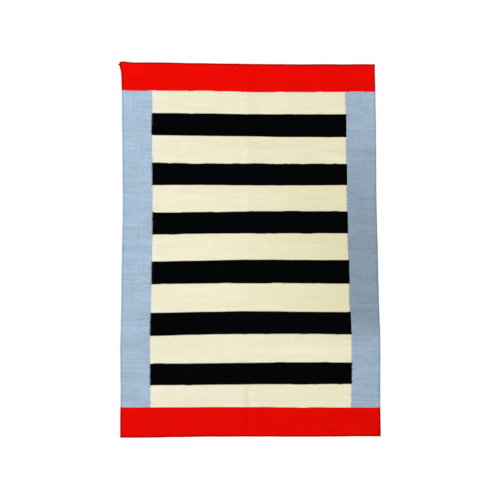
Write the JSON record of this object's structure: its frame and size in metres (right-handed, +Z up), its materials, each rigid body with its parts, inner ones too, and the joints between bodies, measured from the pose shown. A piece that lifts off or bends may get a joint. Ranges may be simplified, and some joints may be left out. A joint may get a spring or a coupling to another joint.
{
  "type": "wool rug",
  "caption": "Flat-woven wool floor rug lying face up, with crosswise stripes, side borders, end bands, an even corded edge, soft fold creases and one low swell beside its right edge.",
  "frame": {"origin": "on the floor, under the middle of the rug's bounding box", "axes": "+Y along the rug's length, to the end with the drawn-out corner; +X to the side with the swell; +Z up, out of the face"},
  "size_m": [1.4112, 2.0204, 0.021],
  "materials": {
    "wool_cloth": "matt weft-faced wool in red, pale blue, cream and black",
    "warp_ends": "dark knotted yarn"
  },
  "bodies": {
    "root": {"rug": "wool_cloth", "corner_tail": "warp_ends"}
  },
  "joints": []
}
